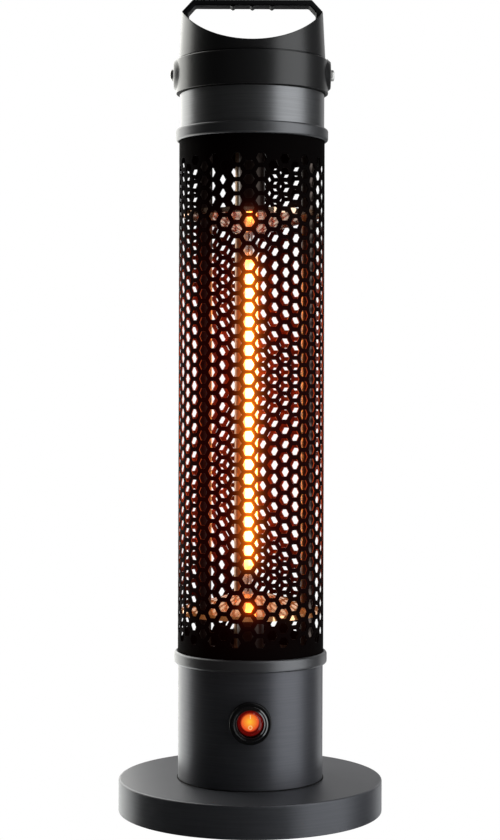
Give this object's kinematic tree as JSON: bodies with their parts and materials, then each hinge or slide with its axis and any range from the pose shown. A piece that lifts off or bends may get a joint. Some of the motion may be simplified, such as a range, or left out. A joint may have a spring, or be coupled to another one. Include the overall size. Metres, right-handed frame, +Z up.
{
  "type": "infrared patio heater",
  "caption": "Free-standing infrared heater with a round weighted base, a perforated tube around an upright quartz lamp, a lit switch and a hood with a carrying bar.",
  "frame": {"origin": "on the floor under the centre of the base", "axes": "+Z up along the lamp, -Y towards the side with the switch, +X to the right as seen from the switch side"},
  "size_m": [0.211, 0.211, 0.65],
  "materials": {
    "body_paint": "satin powder coat",
    "base_paint": "satin powder coat",
    "ring_paint": "satin powder coat",
    "guard_paint": "heat-resistant matt black paint",
    "hood_plastic": "satin moulding",
    "switch_plastic": "satin moulding",
    "terminal_plastic": "matt moulding",
    "boot_silicone": "clear silicone",
    "rocker_plastic": "translucent, lit from behind",
    "zinc_steel": "zinc plated",
    "screw_steel": "stainless",
    "post_metal": "dark anodised",
    "reflector_metal": "polished",
    "quartz": "clear fused quartz",
    "carbon": "carbon fibre, glowing",
    "lamp_ceramic": "unglazed",
    "foot_rubber": "matt",
    "wire_sleeve": "glass-fibre sleeved",
    "ballast_concrete": "cast concrete",
    "weight_brass": "turned"
  },
  "bodies": {
    "heater": {"base_cover": "base_paint", "ballast_block": "ballast_concrete", "base_plate": "base_paint", "rubber_feet": "foot_rubber", "base_screws": "screw_steel", "column_bolts": "zinc_steel", "column_nuts": "zinc_steel", "lower_column": "body_paint", "upper_body": "body_paint", "lower_trim_ring": "ring_paint", "upper_trim_ring": "ring_paint", "lower_deck": "zinc_steel", "upper_deck": "zinc_steel", "guard": "guard_paint", "support_post_left": "post_metal", "support_post_right": "post_metal", "support_post_rear": "post_metal", "post_screws": "zinc_steel", "lower_sleeve": "post_metal", "upper_sleeve": "post_metal", "lower_reflector": "reflector_metal", "upper_reflector": "reflector_metal", "lower_lamp_cap": "lamp_ceramic", "upper_lamp_cap": "lamp_ceramic", "quartz_tube": "quartz", "carbon_element": "carbon", "lower_lamp_lead": "zinc_steel", "upper_lamp_lead": "zinc_steel", "carry_handle": "hood_plastic", "handle_screws": "screw_steel", "handle_nuts": "zinc_steel", "switch_body": "switch_plastic", "switch_boot": "boot_silicone", "switch_bezel": "switch_plastic", "switch_nut": "switch_plastic", "switch_blades": "zinc_steel", "switch_gasket": "foot_rubber", "switch_wires": "wire_sleeve", "gland_body": "switch_plastic", "gland_cap": "switch_plastic", "gland_nut": "switch_plastic", "gland_seal": "foot_rubber", "tilt_bracket": "zinc_steel", "tilt_pin": "zinc_steel", "tilt_sensor": "switch_plastic", "terminal_block": "terminal_plastic", "upper_lamp_wire": "wire_sleeve", "lower_lamp_wire": "wire_sleeve"},
    "rocker": {"switch_rocker": "rocker_plastic"},
    "pendulum": {"tilt_pendulum": "weight_brass"}
  },
  "joints": [
    {"name": "switch_tilt", "type": "hinge", "parent": "heater", "child": "rocker", "pos_m": [0, -0.0575, 0.0806], "axis": [1, 0, 0], "range_deg": [0, 20]},
    {"name": "tip_swing", "type": "hinge", "parent": "heater", "child": "pendulum", "pos_m": [-0.03, 0.005, 0.0642], "axis": [0, 1, 0], "range_deg": [-25, 25]}
  ]
}
